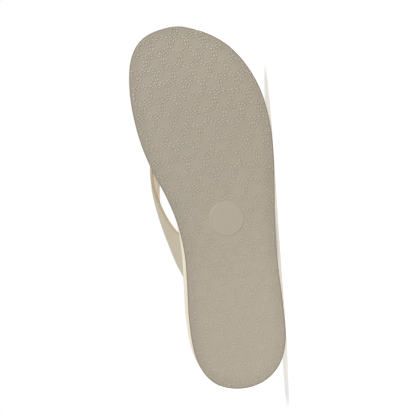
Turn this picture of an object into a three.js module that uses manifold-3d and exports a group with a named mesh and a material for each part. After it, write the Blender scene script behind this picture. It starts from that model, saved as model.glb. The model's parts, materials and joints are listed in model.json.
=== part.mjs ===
// A left toe post sandal for a woman's foot, in millimetres.
// It is modelled in the shoe's own frame: +X from heel to toe, +Y to the lateral side, +Z up from the tread.
// At the end it is laid on its lateral side, so that tread edge and strap both touch the ground.
import * as THREE from "three";
import { mergeVertices } from "three/addons/utils/BufferGeometryUtils.js";
import Module from "manifold-3d";

const LENGTH = 258.6;
const GAP = 0.3;

const OUTSOLE_THICKNESS = 3;
const INSOLE_THICKNESS = 2.6;
const TOE_SPRING = 4.5;
const TOE_SPRING_START = 205;

// The footbed is cupped over this width inside its edge, and the lateral wall leans in by this much.
const CUP_WIDTH = 28;
const LATERAL_DRAW_IN = 0.4;

// Each strap's tail runs this far under the insole, and comes up round a bend just proud of the wall.
const STRAP_THICKNESS = 2;
const TAIL_LENGTH = 11;
const TAIL_BEND = 2;
const TAIL_PROUD = 0.2;
const RECESS_HEADROOM = 0.8;

// The toe post stands in a hole of the footbed. Its depth and heights are measured from the midsole's top.
const POST = {
  x: 200.8,
  y: -12.5,
  length: 8,
  width: 4.8,
  depth: 9,
  flareStart: 14,
  top: 32,
  headLength: 12,
  flareSteps: 6,
  sides: 20,
};

// How finely each shape is faceted.
const SOLE_STATIONS = 52;
const CUPPED_DIVISIONS = 6;
const FLAT_DIVISIONS = 1;
const STRAP_STEPS_PER_ROW = 5;
const STRAP_DIVISIONS = 4;
const TAIL_STEPS = 4;
const LEG_RIBS_IN_SEAT = 3;

// Plan of the tread: how far each edge lies from the shoe's axis, at distances from the heel.
const PLAN = [
  { x: 0, medial: 1, lateral: -1 },
  { x: 5, medial: 19.5, lateral: 16.8 },
  { x: 15, medial: 28.4, lateral: 26.6 },
  { x: 30, medial: 32.8, lateral: 32.1 },
  { x: 55, medial: 32.9, lateral: 34 },
  { x: 80, medial: 30.3, lateral: 34.8 },
  { x: 100, medial: 28.9, lateral: 36.2 },
  { x: 120, medial: 30.3, lateral: 38.6 },
  { x: 140, medial: 35, lateral: 41.5 },
  { x: 160, medial: 41.9, lateral: 44 },
  { x: 180, medial: 46.9, lateral: 44.9 },
  { x: 205, medial: 49.4, lateral: 42 },
  { x: 225, medial: 48.3, lateral: 34.4 },
  { x: 240, medial: 44.6, lateral: 24.1 },
  { x: 250, medial: 38.2, lateral: 11.8 },
  { x: 255.5, medial: 30, lateral: 0.6 },
  { x: LENGTH, medial: 12.5, lateral: -12.5 },
];

// Sections of the sole: the midsole's thickness on the axis, how far the footbed's edges rise above its
// middle, and how far the medial wall leans out at its top.
const SECTIONS = [
  { x: 0, midsole: 21, medialRise: 1.6, lateralRise: 1.6, medialFlare: 0.2 },
  { x: 30, midsole: 21, medialRise: 2.4, lateralRise: 2.2, medialFlare: 0.8 },
  { x: 65, midsole: 20.4, medialRise: 3, lateralRise: 2.2, medialFlare: 1.3 },
  { x: 100, midsole: 17.6, medialRise: 3.6, lateralRise: 2, medialFlare: 1.2 },
  { x: 130, midsole: 14.6, medialRise: 2.6, lateralRise: 1.6, medialFlare: -0.8 },
  { x: 165, midsole: 12.4, medialRise: 1.3, lateralRise: 1.2, medialFlare: -0.8 },
  { x: 210, midsole: 12, medialRise: 1, lateralRise: 1, medialFlare: -0.6 },
  { x: LENGTH, midsole: 12, medialRise: 1, lateralRise: 1, medialFlare: -0.4 },
];

// The V of straps, halfway through its leather, from where the medial leg leaves the sole, round the point
// at the toes, to where the lateral leg meets the sole: front edge, rear edge, and the outward crown between.
const STRAP = [
  { frontX: 119.5, frontY: -33.5, frontZ: 31, rearX: 92, rearY: -33.7, rearZ: 38.5, crown: 0.6 },
  { frontX: 128.5, frontY: -37.3, frontZ: 37, rearX: 104, rearY: -36.4, rearZ: 48.5, crown: 1.1 },
  { frontX: 140, frontY: -40.4, frontZ: 41.8, rearX: 120, rearY: -39.1, rearZ: 57.8, crown: 1.4 },
  { frontX: 154, frontY: -42.1, frontZ: 44.3, rearX: 140, rearY: -39.2, rearZ: 63.5, crown: 1.8 },
  { frontX: 170, frontY: -40.3, frontZ: 44.8, rearX: 158, rearY: -35.5, rearZ: 63, crown: 1.7 },
  { frontX: 186, frontY: -32.5, frontZ: 43.4, rearX: 174, rearY: -28, rearZ: 56.8, crown: 1.2 },
  { frontX: 199, frontY: -23, frontZ: 41.2, rearX: 187, rearY: -20, rearZ: 49.6, crown: 0.8 },
  { frontX: 207.5, frontY: -12.5, frontZ: 39, rearX: 195, rearY: -12.5, rearZ: 44, crown: 0.5 },
  { frontX: 203, frontY: -1.5, frontZ: 41, rearX: 190, rearY: -5, rearZ: 49.2, crown: 0.8 },
  { frontX: 190.5, frontY: 11.5, frontZ: 44, rearX: 176, rearY: 6.5, rearZ: 56.8, crown: 1.2 },
  { frontX: 174, frontY: 24.5, frontZ: 46, rearX: 159, rearY: 20, rearZ: 63, crown: 1.6 },
  { frontX: 156.5, frontY: 34.5, frontZ: 45.5, rearX: 141, rearY: 31, rearZ: 65, crown: 1.8 },
  { frontX: 139, frontY: 40, frontZ: 42, rearX: 122, rearY: 38, rearZ: 60.5, crown: 1.8 },
  { frontX: 125, frontY: 40.2, frontZ: 36.5, rearX: 105, rearY: 39.8, rearZ: 50.5, crown: 1 },
  { frontX: 114.5, frontY: 38.4, frontZ: 31, rearX: 90, rearY: 37.2, rearZ: 39.5, crown: 0.4 },
];

// Where each leg's front and rear edge cross the wall of the sole.
const STRAP_ROOTS = [
  { side: -1, frontX: 112.8, rearX: 82.2 },
  { side: 1, frontX: 107.5, rearX: 79 },
];

const MATERIALS = {
  outsole: new THREE.MeshStandardMaterial({ color: 0xada493, roughness: 0.75, metalness: 0 }),
  midsole: new THREE.MeshStandardMaterial({ color: 0xefe4d3, roughness: 0.7, metalness: 0 }),
  insole: new THREE.MeshStandardMaterial({ color: 0xd9cfbc, roughness: 0.65, metalness: 0 }),
  leather: new THREE.MeshStandardMaterial({ color: 0xcdc3ae, roughness: 0.5, metalness: 0 }),
};

const WELD = 1e-4;
const TINY_AREA = 1e-7;

const wasm = await Module();
wasm.setup();

function solidOf(geometry) {
  const bare = new THREE.BufferGeometry().setAttribute("position", geometry.getAttribute("position"));
  bare.setIndex(geometry.index);
  const merged = mergeVertices(bare, WELD);
  return new wasm.Manifold(
    new wasm.Mesh({
      numProp: 3,
      vertProperties: merged.attributes.position.array,
      triVerts: new Uint32Array(merged.index.array),
    }),
  );
}

function geometryOf(solid) {
  const mesh = solid.getMesh();
  const geometry = new THREE.BufferGeometry();
  geometry.setAttribute("position", new THREE.BufferAttribute(new Float32Array(mesh.vertProperties), 3));
  geometry.setIndex(new THREE.BufferAttribute(new Uint32Array(mesh.triVerts), 1));
  return geometry;
}

// Collects triangles, and leaves out those that have closed to a line at a tip.
class Shell {
  corners = [];

  triangle(a, b, c) {
    const area = b.clone().sub(a).cross(c.clone().sub(a)).length() / 2;
    if (area > TINY_AREA) this.corners.push(a, b, c);
  }

  quad(a, b, c, d) {
    this.triangle(a, b, c);
    this.triangle(a, c, d);
  }

  geometry() {
    return mergeVertices(new THREE.BufferGeometry().setFromPoints(this.corners), WELD);
  }
}

function curveThrough(keys, values) {
  const curve = new THREE.CubicInterpolant(keys, values, 1);
  return (key) => curve.evaluate(key)[0];
}

function sectionCurve(column) {
  return curveThrough(
    SECTIONS.map((row) => row.x),
    SECTIONS.map((row) => row[column]),
  );
}

const midsoleThickness = sectionCurve("midsole");
const medialRise = sectionCurve("medialRise");
const lateralRise = sectionCurve("lateralRise");
const medialFlare = sectionCurve("medialFlare");

// The outline runs round as an angle: 0 at the heel, a half turn at the toe, lateral side first.
const TURN = 2 * Math.PI;
const angleAt = (x) => Math.acos(1 - (2 * x) / LENGTH);
const sideAngle = (x, side) => (side > 0 ? angleAt(x) : TURN - angleAt(x));
const edgeAt = planCurve();

function planCurve() {
  const lateral = PLAN.map((row) => ({ key: angleAt(row.x), value: row.lateral }));
  const medial = PLAN.slice(1, -1).map((row) => ({ key: TURN - angleAt(row.x), value: -row.medial }));
  const round = [...lateral, ...medial.reverse()];
  const before = round.map(({ key, value }) => ({ key: key - TURN, value }));
  const after = round.map(({ key, value }) => ({ key: key + TURN, value }));
  const all = [...before, ...round, ...after];
  return curveThrough(
    all.map(({ key }) => key),
    all.map(({ value }) => value),
  );
}

// A point of the sole's outline, moved outwards by an offset.
function outline(angle, offset = 0) {
  const step = 1e-4;
  const at = (a) => new THREE.Vector2((LENGTH / 2) * (1 - Math.cos(a)), edgeAt(a));
  const along = at(angle + step).sub(at(angle - step)).normalize();
  return at(angle).add(new THREE.Vector2(-along.y, along.x).multiplyScalar(offset));
}

const treadZ = (x) => TOE_SPRING * (Math.max(0, x - TOE_SPRING_START) / (LENGTH - TOE_SPRING_START)) ** 2;
const outsoleTopZ = (x) => treadZ(x) + OUTSOLE_THICKNESS;

// How far the wall leans out at the top of the midsole. The two sides blend into each other at the tips.
function wallOffset(angle) {
  const blend = 0.3;
  const medialShare = THREE.MathUtils.smoothstep(-Math.sin(angle), -blend, blend);
  return THREE.MathUtils.lerp(-LATERAL_DRAW_IN, medialFlare(outline(angle).x), medialShare);
}

// The midsole's top surface, at a share of the way across from -1, medial, to 1, lateral.
function midsoleTopZ(x, across, inboard) {
  const rise = THREE.MathUtils.mapLinear(across, -1, 1, medialRise(x), lateralRise(x));
  const cup = rise * (1 - Math.min(inboard / CUP_WIDTH, 1)) ** 2;
  return outsoleTopZ(x) + GAP + midsoleThickness(x) + cup;
}

// How far a place lies inside a closed line.
function distanceInside(ring, place) {
  const distances = ring.map((corner, k) => {
    const along = ring[(k + 1) % ring.length].clone().sub(corner);
    const reach = place.clone().sub(corner);
    const share = THREE.MathUtils.clamp(reach.dot(along) / along.lengthSq(), 0, 1);
    return reach.addScaledVector(along, -share).length();
  });
  return Math.min(...distances);
}

// A surface across the sole, as rows of points from heel to toe, each from the medial to the lateral edge.
function soleGrid({ offset, height, divisions }) {
  const stations = Array.from({ length: SOLE_STATIONS + 1 }, (_, i) => {
    const angle = (Math.PI * i) / SOLE_STATIONS;
    return { lateral: outline(angle, offset(angle)), medial: outline(TURN - angle, offset(TURN - angle)) };
  });
  const medialSide = stations.slice(1, -1).map(({ medial }) => medial);
  const ring = [...stations.map(({ lateral }) => lateral), ...medialSide.reverse()];
  const rows = stations.map(({ lateral, medial }) =>
    Array.from({ length: divisions + 1 }, (_, j) => {
      const across = -1 + (2 * j) / divisions;
      const place = medial.clone().lerp(lateral, j / divisions);
      const inboard = distanceInside(ring, place);
      return new THREE.Vector3(place.x, place.y, height(place.x, across, inboard));
    }),
  );
  for (const tip of [rows[0], rows[SOLE_STATIONS]]) tip.fill(tip[divisions]);
  return rows;
}

// One layer of the sole: a floor, a roof, and the wall between them.
function soleLayer(floor, roof) {
  const shell = new Shell();
  const [low, high] = [soleGrid(floor), soleGrid(roof)];
  for (let i = 0; i < SOLE_STATIONS; i += 1) {
    for (let j = 0; j < floor.divisions; j += 1) {
      shell.quad(low[i][j], low[i][j + 1], low[i + 1][j + 1], low[i + 1][j]);
    }
    for (let j = 0; j < roof.divisions; j += 1) {
      shell.quad(high[i][j], high[i + 1][j], high[i + 1][j + 1], high[i][j + 1]);
    }
    shell.quad(low[i][0], low[i + 1][0], high[i + 1][0], high[i][0]);
    shell.quad(low[i].at(-1), high[i].at(-1), high[i + 1].at(-1), low[i + 1].at(-1));
  }
  return solidOf(shell.geometry());
}

const flush = () => 0;

function outsole() {
  return soleLayer(
    { offset: flush, height: treadZ, divisions: FLAT_DIVISIONS },
    { offset: flush, height: outsoleTopZ, divisions: FLAT_DIVISIONS },
  );
}

function midsole() {
  return soleLayer(
    { offset: flush, height: (x) => outsoleTopZ(x) + GAP, divisions: FLAT_DIVISIONS },
    { offset: wallOffset, height: midsoleTopZ, divisions: CUPPED_DIVISIONS },
  );
}

function insole() {
  const raised = (by) => (x, across, inboard) => midsoleTopZ(x, across, inboard) + by;
  return soleLayer(
    { offset: wallOffset, height: raised(GAP), divisions: CUPPED_DIVISIONS },
    { offset: wallOffset, height: raised(GAP + INSOLE_THICKNESS), divisions: CUPPED_DIVISIONS },
  );
}

// The strap is a row of ribs, each from its front edge to its rear edge, with a crown between them.
// A tail's ribs start under the insole, lie flush in the midsole, and turn up where they reach the wall.
function tailRibs({ side, frontX, rearX }) {
  const path = [];
  for (let i = 0; i < TAIL_STEPS; i += 1) {
    path.push({ inboard: THREE.MathUtils.lerp(TAIL_LENGTH, TAIL_BEND, i / TAIL_STEPS), up: 0 });
  }
  for (let i = 0; i <= TAIL_STEPS; i += 1) {
    const turn = (Math.PI / 2) * (i / TAIL_STEPS);
    path.push({ inboard: TAIL_BEND * (1 - Math.sin(turn)), up: TAIL_BEND * (1 - Math.cos(turn)) });
  }
  const edge = (x) => {
    const angle = sideAngle(x, side);
    const wall = outline(angle, wallOffset(angle) + TAIL_PROUD - STRAP_THICKNESS / 2);
    return ({ inboard, up }) => {
      const z = midsoleTopZ(wall.x, side, inboard) - STRAP_THICKNESS / 2 + up;
      return new THREE.Vector3(wall.x, wall.y - side * inboard, z);
    };
  };
  const [front, rear] = [edge(frontX), edge(rearX)];
  return path.map((step) => ({ front: front(step), rear: rear(step), crown: 0 }));
}

// Every rib of the V, from one tail's end to the other's.
function strapRibs() {
  const [medialTail, lateralTail] = STRAP_ROOTS.map(tailRibs);
  const rows = STRAP.map((row) => ({
    front: new THREE.Vector3(row.frontX, row.frontY, row.frontZ),
    rear: new THREE.Vector3(row.rearX, row.rearY, row.rearZ),
    crown: row.crown,
  }));
  const stops = [medialTail.at(-1), ...rows, lateralTail.at(-1)];
  const spans = stops.length - 1;
  const front = new THREE.CatmullRomCurve3(stops.map((stop) => stop.front));
  const rear = new THREE.CatmullRomCurve3(stops.map((stop) => stop.rear));
  const crown = curveThrough([...stops.keys()], stops.map((stop) => stop.crown));
  const legs = [];
  for (let i = 1; i < spans * STRAP_STEPS_PER_ROW; i += 1) {
    const row = i / STRAP_STEPS_PER_ROW;
    legs.push({ front: front.getPoint(row / spans), rear: rear.getPoint(row / spans), crown: crown(row) });
  }
  return [...medialTail, ...legs, ...lateralTail.reverse()];
}

// The strap's middle surface: a place on a rib, with its outward normal and its direction across the strap.
function strapSurface(ribs) {
  const last = ribs.length - 1;
  const difference = (i, place) => place(Math.min(i + 1, last)).sub(place(Math.max(i - 1, 0)));
  const flat = (i, share) => ribs[i].front.clone().lerp(ribs[i].rear, share);
  const crowned = (i, share) => {
    const along = difference(i, (k) => flat(k, share));
    const outward = along.cross(flat(i, 1).sub(flat(i, 0))).normalize();
    return flat(i, share).addScaledVector(outward, 4 * ribs[i].crown * share * (1 - share));
  };
  const nudge = 0.05;
  return (i, share) => {
    const along = difference(i, (k) => crowned(k, share));
    const across = crowned(i, share + nudge).sub(crowned(i, share - nudge)).normalize();
    return { place: crowned(i, share), normal: along.cross(across).normalize(), across };
  };
}

// A closed skin round a row of sections that all have the same number of corners.
// The first half of the corners is the outer face, and the second half is the inner face, back again.
function skin(sections) {
  const shell = new Shell();
  const corners = sections[0].length;
  for (let i = 1; i < sections.length; i += 1) {
    const [here, next] = [sections[i - 1], sections[i]];
    for (let k = 0; k < corners; k += 1) {
      const m = (k + 1) % corners;
      shell.quad(here[k], next[k], next[m], here[m]);
    }
  }
  const [first, last] = [sections[0], sections.at(-1)];
  for (let outer = 0; outer < corners / 2 - 1; outer += 1) {
    const inner = corners - 1 - outer;
    shell.quad(first[outer], first[outer + 1], first[inner - 1], first[inner]);
    shell.quad(last[inner], last[inner - 1], last[outer + 1], last[outer]);
  }
  return solidOf(shell.geometry());
}

// A band of leather through the ribs. Grow makes it thicker and wider, and longer at its first end, so that
// it cuts its own seat.
function band(ribs, grow = 0) {
  const surface = strapSurface(ribs);
  const half = STRAP_THICKNESS / 2 + grow;
  const sections = ribs.map((_, i) => {
    const outer = [];
    const inner = [];
    for (let j = 0; j <= STRAP_DIVISIONS; j += 1) {
      const { place, normal, across } = surface(i, j / STRAP_DIVISIONS);
      if (j === 0) place.addScaledVector(across, -grow);
      if (j === STRAP_DIVISIONS) place.addScaledVector(across, grow);
      outer.push(place.clone().addScaledVector(normal, half));
      inner.push(place.clone().addScaledVector(normal, -half));
    }
    return [...outer, ...inner.reverse()];
  });
  if (grow > 0) {
    const [first, second] = sections;
    sections.unshift(first.map((corner, k) => corner.clone().sub(second[k]).setLength(grow).add(corner)));
  }
  return skin(sections);
}

// The toe post's column, from inside the midsole to a flared head, as if it ran on through the strap.
function postColumn(grow = 0) {
  const halfLength = POST.length / 2 + grow;
  const seat = midsoleTopZ(POST.x, 0, CUP_WIDTH);
  const [bottom, flare, top] = [seat - POST.depth - grow, seat + POST.flareStart, seat + POST.top];
  const profile = [
    new THREE.Vector2(0, bottom),
    new THREE.Vector2(halfLength, bottom),
    new THREE.Vector2(halfLength, flare),
  ];
  for (let i = 1; i <= POST.flareSteps; i += 1) {
    const share = i / POST.flareSteps;
    const radius = THREE.MathUtils.lerp(halfLength, POST.headLength / 2 + grow, share ** 2);
    profile.push(new THREE.Vector2(radius, THREE.MathUtils.lerp(flare, top, share)));
  }
  profile.push(new THREE.Vector2(0, top));
  const column = new THREE.LatheGeometry(profile, POST.sides);
  column.rotateX(Math.PI / 2);
  column.scale(1, (POST.width / 2 + grow) / halfLength, 1);
  column.translate(POST.x, POST.y, 0);
  return solidOf(column);
}

const ribs = strapRibs();
const seatRibs = tailRibs(STRAP_ROOTS[0]).length + LEG_RIBS_IN_SEAT;
const medialSeat = band(ribs.slice(0, seatRibs), GAP);
const lateralSeat = band(ribs.slice(-seatRibs).reverse(), GAP);
const tailSeats = medialSeat.add(lateralSeat);
const recesses = tailSeats.add(tailSeats.translate(0, 0, RECESS_HEADROOM));
const postHole = postColumn(GAP);

// The strap's underside trims the column, and the post is the lower part.
function toePost() {
  const parts = postColumn().subtract(band(ribs, GAP)).decompose();
  const foot = (solid) => solid.boundingBox().min[2];
  return parts.reduce((a, b) => (foot(b) < foot(a) ? b : a));
}

const sandal = new THREE.Group();

function addPiece(name, solid, material) {
  const mesh = new THREE.Mesh(geometryOf(solid), material);
  mesh.name = name;
  sandal.add(mesh);
  return mesh;
}

const outsolePiece = addPiece("outsole", outsole(), MATERIALS.outsole);
addPiece("midsole", midsole().subtract(recesses).subtract(postHole), MATERIALS.midsole);
addPiece("insole", insole().subtract(tailSeats).subtract(postHole), MATERIALS.insole);
const upperPiece = addPiece("upper", band(ribs), MATERIALS.leather);
addPiece("toe_post", toePost(), MATERIALS.leather);

// On its side the shoe touches the ground at the tread's edge, at the heel and at the ball, and at the strap
// where it is widest. The ground's slope is found from those three, each the furthest point towards it.
function groundDirection() {
  const points = (mesh) => {
    const position = mesh.geometry.getAttribute("position");
    const point = (_, i) => new THREE.Vector3().fromBufferAttribute(position, i);
    return Array.from({ length: position.count }, point);
  };
  const tread = points(outsolePiece);
  const heel = tread.filter((point) => point.x < LENGTH / 2);
  const ball = tread.filter((point) => point.x >= LENGTH / 2);
  const strap = points(upperPiece);
  const down = new THREE.Vector3(0, 1, 0);
  const rounds = 8;
  for (let i = 0; i < rounds; i += 1) {
    const furthest = (places) => places.reduce((a, b) => (b.dot(down) > a.dot(down) ? b : a));
    new THREE.Triangle(furthest(heel), furthest(strap), furthest(ball)).getNormal(down);
  }
  return down;
}

function layOnSide() {
  const up = groundDirection().negate();
  const ahead = new THREE.Vector3(1, 0, 0).projectOnPlane(up).normalize();
  const across = up.clone().cross(ahead);
  sandal.quaternion.setFromRotationMatrix(new THREE.Matrix4().makeBasis(ahead, across, up).transpose());
  const box = new THREE.Box3().setFromObject(sandal, true);
  const centre = box.getCenter(new THREE.Vector3());
  sandal.position.set(-centre.x, -centre.y, -box.min.z);
}
layOnSide();

export default sandal;
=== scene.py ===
# A left toe post sandal in rubber, foam rubber and leather, lying on its lateral side.
# Its pieces are shaped in the shoe's own millimetres: x from heel to toe, y to the lateral side, z up from
# the tread. SHOE then lays them on their side, in metres.
import json
import math
from collections import namedtuple

import bmesh
import bpy
import numpy as np
from mathutils import Matrix, Vector
from mathutils.bvhtree import BVHTree


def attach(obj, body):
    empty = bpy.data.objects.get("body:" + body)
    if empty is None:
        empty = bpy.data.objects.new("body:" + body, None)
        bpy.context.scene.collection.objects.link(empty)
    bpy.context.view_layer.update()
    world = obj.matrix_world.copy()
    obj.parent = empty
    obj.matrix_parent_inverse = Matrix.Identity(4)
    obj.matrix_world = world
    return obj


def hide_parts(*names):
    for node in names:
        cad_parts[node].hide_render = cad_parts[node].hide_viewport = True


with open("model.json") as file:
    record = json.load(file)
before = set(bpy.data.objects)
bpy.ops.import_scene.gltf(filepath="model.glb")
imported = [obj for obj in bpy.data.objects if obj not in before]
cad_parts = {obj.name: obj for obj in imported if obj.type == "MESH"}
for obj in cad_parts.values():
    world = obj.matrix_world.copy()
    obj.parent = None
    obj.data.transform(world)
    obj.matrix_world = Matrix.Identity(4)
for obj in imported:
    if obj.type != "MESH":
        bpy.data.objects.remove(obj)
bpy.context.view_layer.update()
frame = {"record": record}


# Outsole
# A sheet of greige rubber, moulded with a low relief, cut to the shoe's outline and cemented under the
# wedge. Its colour is darker round its edge than on the moulded face.
LENGTH = 258.6
OUTSOLE_THICKNESS = 3
TOE_SPRING = 4.5
TOE_SPRING_START = 205
RELIEF = 0.4
HEEL_SPOT = 40
MM = 0.001
STATIONS = 180
ROUND_THE_SHOE = np.arange(2 * STATIONS) * math.pi / STATIONS
SHARP_DEGREES = 40

Station = namedtuple("Station", "x medial lateral")
PLAN = [
    Station(0, 1, -1),
    Station(5, 19.5, 16.8),
    Station(15, 28.4, 26.6),
    Station(30, 32.8, 32.1),
    Station(55, 32.9, 34),
    Station(80, 30.3, 34.8),
    Station(100, 28.9, 36.2),
    Station(120, 30.3, 38.6),
    Station(140, 35, 41.5),
    Station(160, 41.9, 44),
    Station(180, 46.9, 44.9),
    Station(205, 49.4, 42),
    Station(225, 48.3, 34.4),
    Station(240, 44.6, 24.1),
    Station(250, 38.2, 11.8),
    Station(255.5, 30, 0.6),
    Station(LENGTH, 12.5, -12.5),
]

# The flat spots under heel and forefoot say how the shoe lies. The first is HEEL_SPOT from the heel's end.
mounts = {mount["name"]: mount for mount in frame["record"]["mounts"]}
heel_spot = Vector(mounts["heel_tread"]["pos_m"])
ahead = (Vector(mounts["forefoot_tread"]["pos_m"]) - heel_spot).normalized()
upwards = -Vector(mounts["heel_tread"]["axis"])
axes = Matrix((ahead, upwards.cross(ahead), upwards)).transposed().to_4x4()
SHOE = Matrix.Translation(heel_spot - HEEL_SPOT * MM * ahead) @ axes @ Matrix.Scale(MM, 4)


def hermite(share, start, end, start_slope, end_slope):
    """The cubic from start to end that leaves and arrives with those slopes."""
    turn = share**2 * (3 - 2 * share)
    leave = share * (1 - share) ** 2
    arrive = share**2 * (share - 1)
    return start * (1 - turn) + end * turn + start_slope * leave + end_slope * arrive


def curve_through(keys, values):
    """A smooth curve through values at keys. Its slope at each is the mean of the slopes on both sides."""
    keys = np.array(keys, float)
    values = np.array(values, float)
    rises = np.diff(values) / np.diff(keys)
    slopes = np.concatenate([rises[:1], (rises[1:] + rises[:-1]) / 2, rises[-1:]])

    def at(key):
        i = np.clip(np.searchsorted(keys, key) - 1, 0, len(rises) - 1)
        span = keys[i + 1] - keys[i]
        share = (key - keys[i]) / span
        return hermite(share, values[i], values[i + 1], slopes[i] * span, slopes[i + 1] * span)

    return at


def angle_at(x):
    """The outline runs round as an angle: 0 at the heel, a half turn at the toe, lateral side first."""
    return np.arccos(1 - 2 * np.clip(x, 0, LENGTH) / LENGTH)


def plan_curve():
    """How far the tread's edge lies to the lateral side of the shoe's axis, at an angle round it."""
    lateral = [(angle_at(row.x), row.lateral) for row in PLAN]
    medial = [(math.tau - angle_at(row.x), -row.medial) for row in PLAN[1:-1]]
    once = lateral + medial[::-1]
    turns = [(angle + turn * math.tau, edge) for turn in (-1, 0, 1) for angle, edge in once]
    return curve_through(*zip(*turns))


edge_at = plan_curve()


def unit(vectors):
    """Vectors of length 1 in the same directions."""
    return vectors / np.linalg.norm(vectors, axis=-1, keepdims=True)


def outline(angle, offset):
    """Places on the edge of the tread, moved outwards by an offset."""
    step = 1e-4
    before, here, after = (
        np.stack([LENGTH / 2 * (1 - np.cos(turn)), edge_at(turn)], -1)
        for turn in (angle - step, angle, angle + step)
    )
    along = unit(after - before)
    outward = np.stack([-along[..., 1], along[..., 0]], -1)
    return here + outward * np.asarray(offset)[..., None]


def flush(angle):
    """No offset: an edge that lies over the tread's."""
    return 0 * angle


def tread_z(x):
    """The height of the tread, which springs up towards the toe."""
    return TOE_SPRING * (np.maximum(0, x - TOE_SPRING_START) / (LENGTH - TOE_SPRING_START)) ** 2


def placed(name, data):
    """A new object of that data, in the scene."""
    thing = bpy.data.objects.new(name, data)
    bpy.context.scene.collection.objects.link(thing)
    return thing


def new_piece(name, points, faces, smooth_degrees=SHARP_DEGREES):
    """A piece from its corners and faces, smooth apart from its sharper edges."""
    mesh = bpy.data.meshes.new(name)
    mesh.from_pydata(np.asarray(points, float).tolist(), [], faces)
    mesh.polygons.foreach_set("use_smooth", np.ones(len(mesh.polygons), bool))
    mesh.set_sharp_from_angle(angle=math.radians(smooth_degrees))
    return placed(name, mesh)


def walls(count, rings, first=0):
    """Faces between rings of that many corners, which run clockwise seen from where their row is heading."""
    faces = []
    for low in range(first, first + count * (rings - 1), count):
        for k in range(count):
            m = (k + 1) % count
            faces.append((low + k, low + count + k, low + count + m, low + m))
    return faces


def mark(piece, name, values):
    """Gives each corner of a piece a number that its material reads, or all of them the same one."""
    attribute = piece.data.attributes.new(name, "FLOAT", "POINT")
    numbers = np.broadcast_to(values, len(piece.data.vertices))
    attribute.data.foreach_set("value", numbers.astype(np.float32))


# A surface gives the offset of its edge from the outline at an angle, and the height of a place on it that
# lies so far inside that edge. A rim is a line round a surface, and edge says how far it is cut edge.
Surface = namedtuple("Surface", "offset height")
Rim = namedtuple("Rim", "surface inset lift edge")


def above(surface, lift):
    """The surface that lies so far above another, with its edge over the other's."""
    return Surface(surface.offset, lambda places, inside: surface.height(places, inside) + lift)


def rounded(surface, radius, sense, steps=4):
    """Rims round a quarter circle from a surface to the wall, which lies above it for a sense of 1."""
    rims = []
    for turn in np.linspace(0, math.pi / 2, steps + 1):
        inset = radius * (1 - math.sin(turn))
        lift = radius * (1 - math.cos(turn))
        rims.append(Rim(surface, inset, sense * lift, 1))
    return rims


def distance_inside(ring, places):
    """How far places lie inside a closed line."""
    along = np.roll(ring, -1, 0) - ring
    reach = places[:, None] - ring
    share = np.clip((reach * along).sum(-1) / (along * along).sum(-1), 0, 1)
    return np.linalg.norm(reach - share[..., None] * along, axis=-1).min(1)


def sole_layer(name, rims, divisions=12):
    """A closed sheet of the sole, from its lower face up its wall to its upper face.
    It has a ring of faces between each two rims, and a grid across the first rim and across the last."""
    count = 2 * STATIONS
    points = []
    insets = []
    faces = walls(count, len(rims))
    for rim in rims:
        places = outline(ROUND_THE_SHOE, rim.surface.offset(ROUND_THE_SHOE) - rim.inset)
        heights = rim.surface.height(places, rim.inset) + rim.lift
        points += np.column_stack([places, heights]).tolist()
        insets += [rim.inset] * count
    for first, rim, upper in ((0, rims[0], False), (len(points) - count, rims[-1], True)):
        ring = np.array(points[first : first + count])[:, :2]
        rows = [[first] * (divisions + 1)]
        for i in range(1, STATIONS):
            shares = np.linspace(0, 1, divisions + 1)[1:-1, None]
            inner = ring[count - i] + shares * (ring[i] - ring[count - i])
            inside = rim.inset + distance_inside(ring, inner)
            rows.append([first + count - i, *range(len(points), len(points) + len(inner)), first + i])
            points += np.column_stack([inner, rim.surface.height(inner, inside) + rim.lift]).tolist()
            insets += inside.tolist()
        rows.append([first + STATIONS] * (divisions + 1))
        for here, there in zip(rows, rows[1:]):
            for j in range(divisions):
                corners = tuple(dict.fromkeys((here[j], there[j], there[j + 1], here[j + 1])))
                faces.append(corners if upper else corners[::-1])
    piece = new_piece(name, points, faces)
    edges = np.repeat([rim.edge for rim in rims], count)
    mark(piece, "edge", np.concatenate([edges, np.zeros(len(points) - len(edges))]))
    mark(piece, "inside", insets)
    return piece


class Signal:
    """A node's output. Arithmetic with it adds Math nodes."""

    def __init__(self, graph, socket):
        self.graph = graph
        self.socket = socket

    def out(self, name):
        """Another output of the same node."""
        return Signal(self.graph, self.socket.node.outputs[name])

    def between(self, low, high):
        """A number from low, where this one is 0, to high, where it is 1."""
        return low + (high - low) * self

    def maths(self, operation, *others):
        return self.graph.maths(operation, self, *others)

    def __add__(self, other):
        return self.graph.maths("ADD", self, other)

    def __radd__(self, other):
        return self.graph.maths("ADD", other, self)

    def __sub__(self, other):
        return self.graph.maths("SUBTRACT", self, other)

    def __rsub__(self, other):
        return self.graph.maths("SUBTRACT", other, self)

    def __mul__(self, other):
        return self.graph.maths("MULTIPLY", self, other)

    def __rmul__(self, other):
        return self.graph.maths("MULTIPLY", other, self)

    def __truediv__(self, other):
        return self.graph.maths("DIVIDE", self, other)

    def __rtruediv__(self, other):
        return self.graph.maths("DIVIDE", other, self)

    def __mod__(self, other):
        return self.graph.maths("MODULO", self, other)

    def __rmod__(self, other):
        return self.graph.maths("MODULO", other, self)

    def __gt__(self, other):
        return self.graph.maths("GREATER_THAN", self, other)

    def __neg__(self):
        return 0 - self


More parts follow.
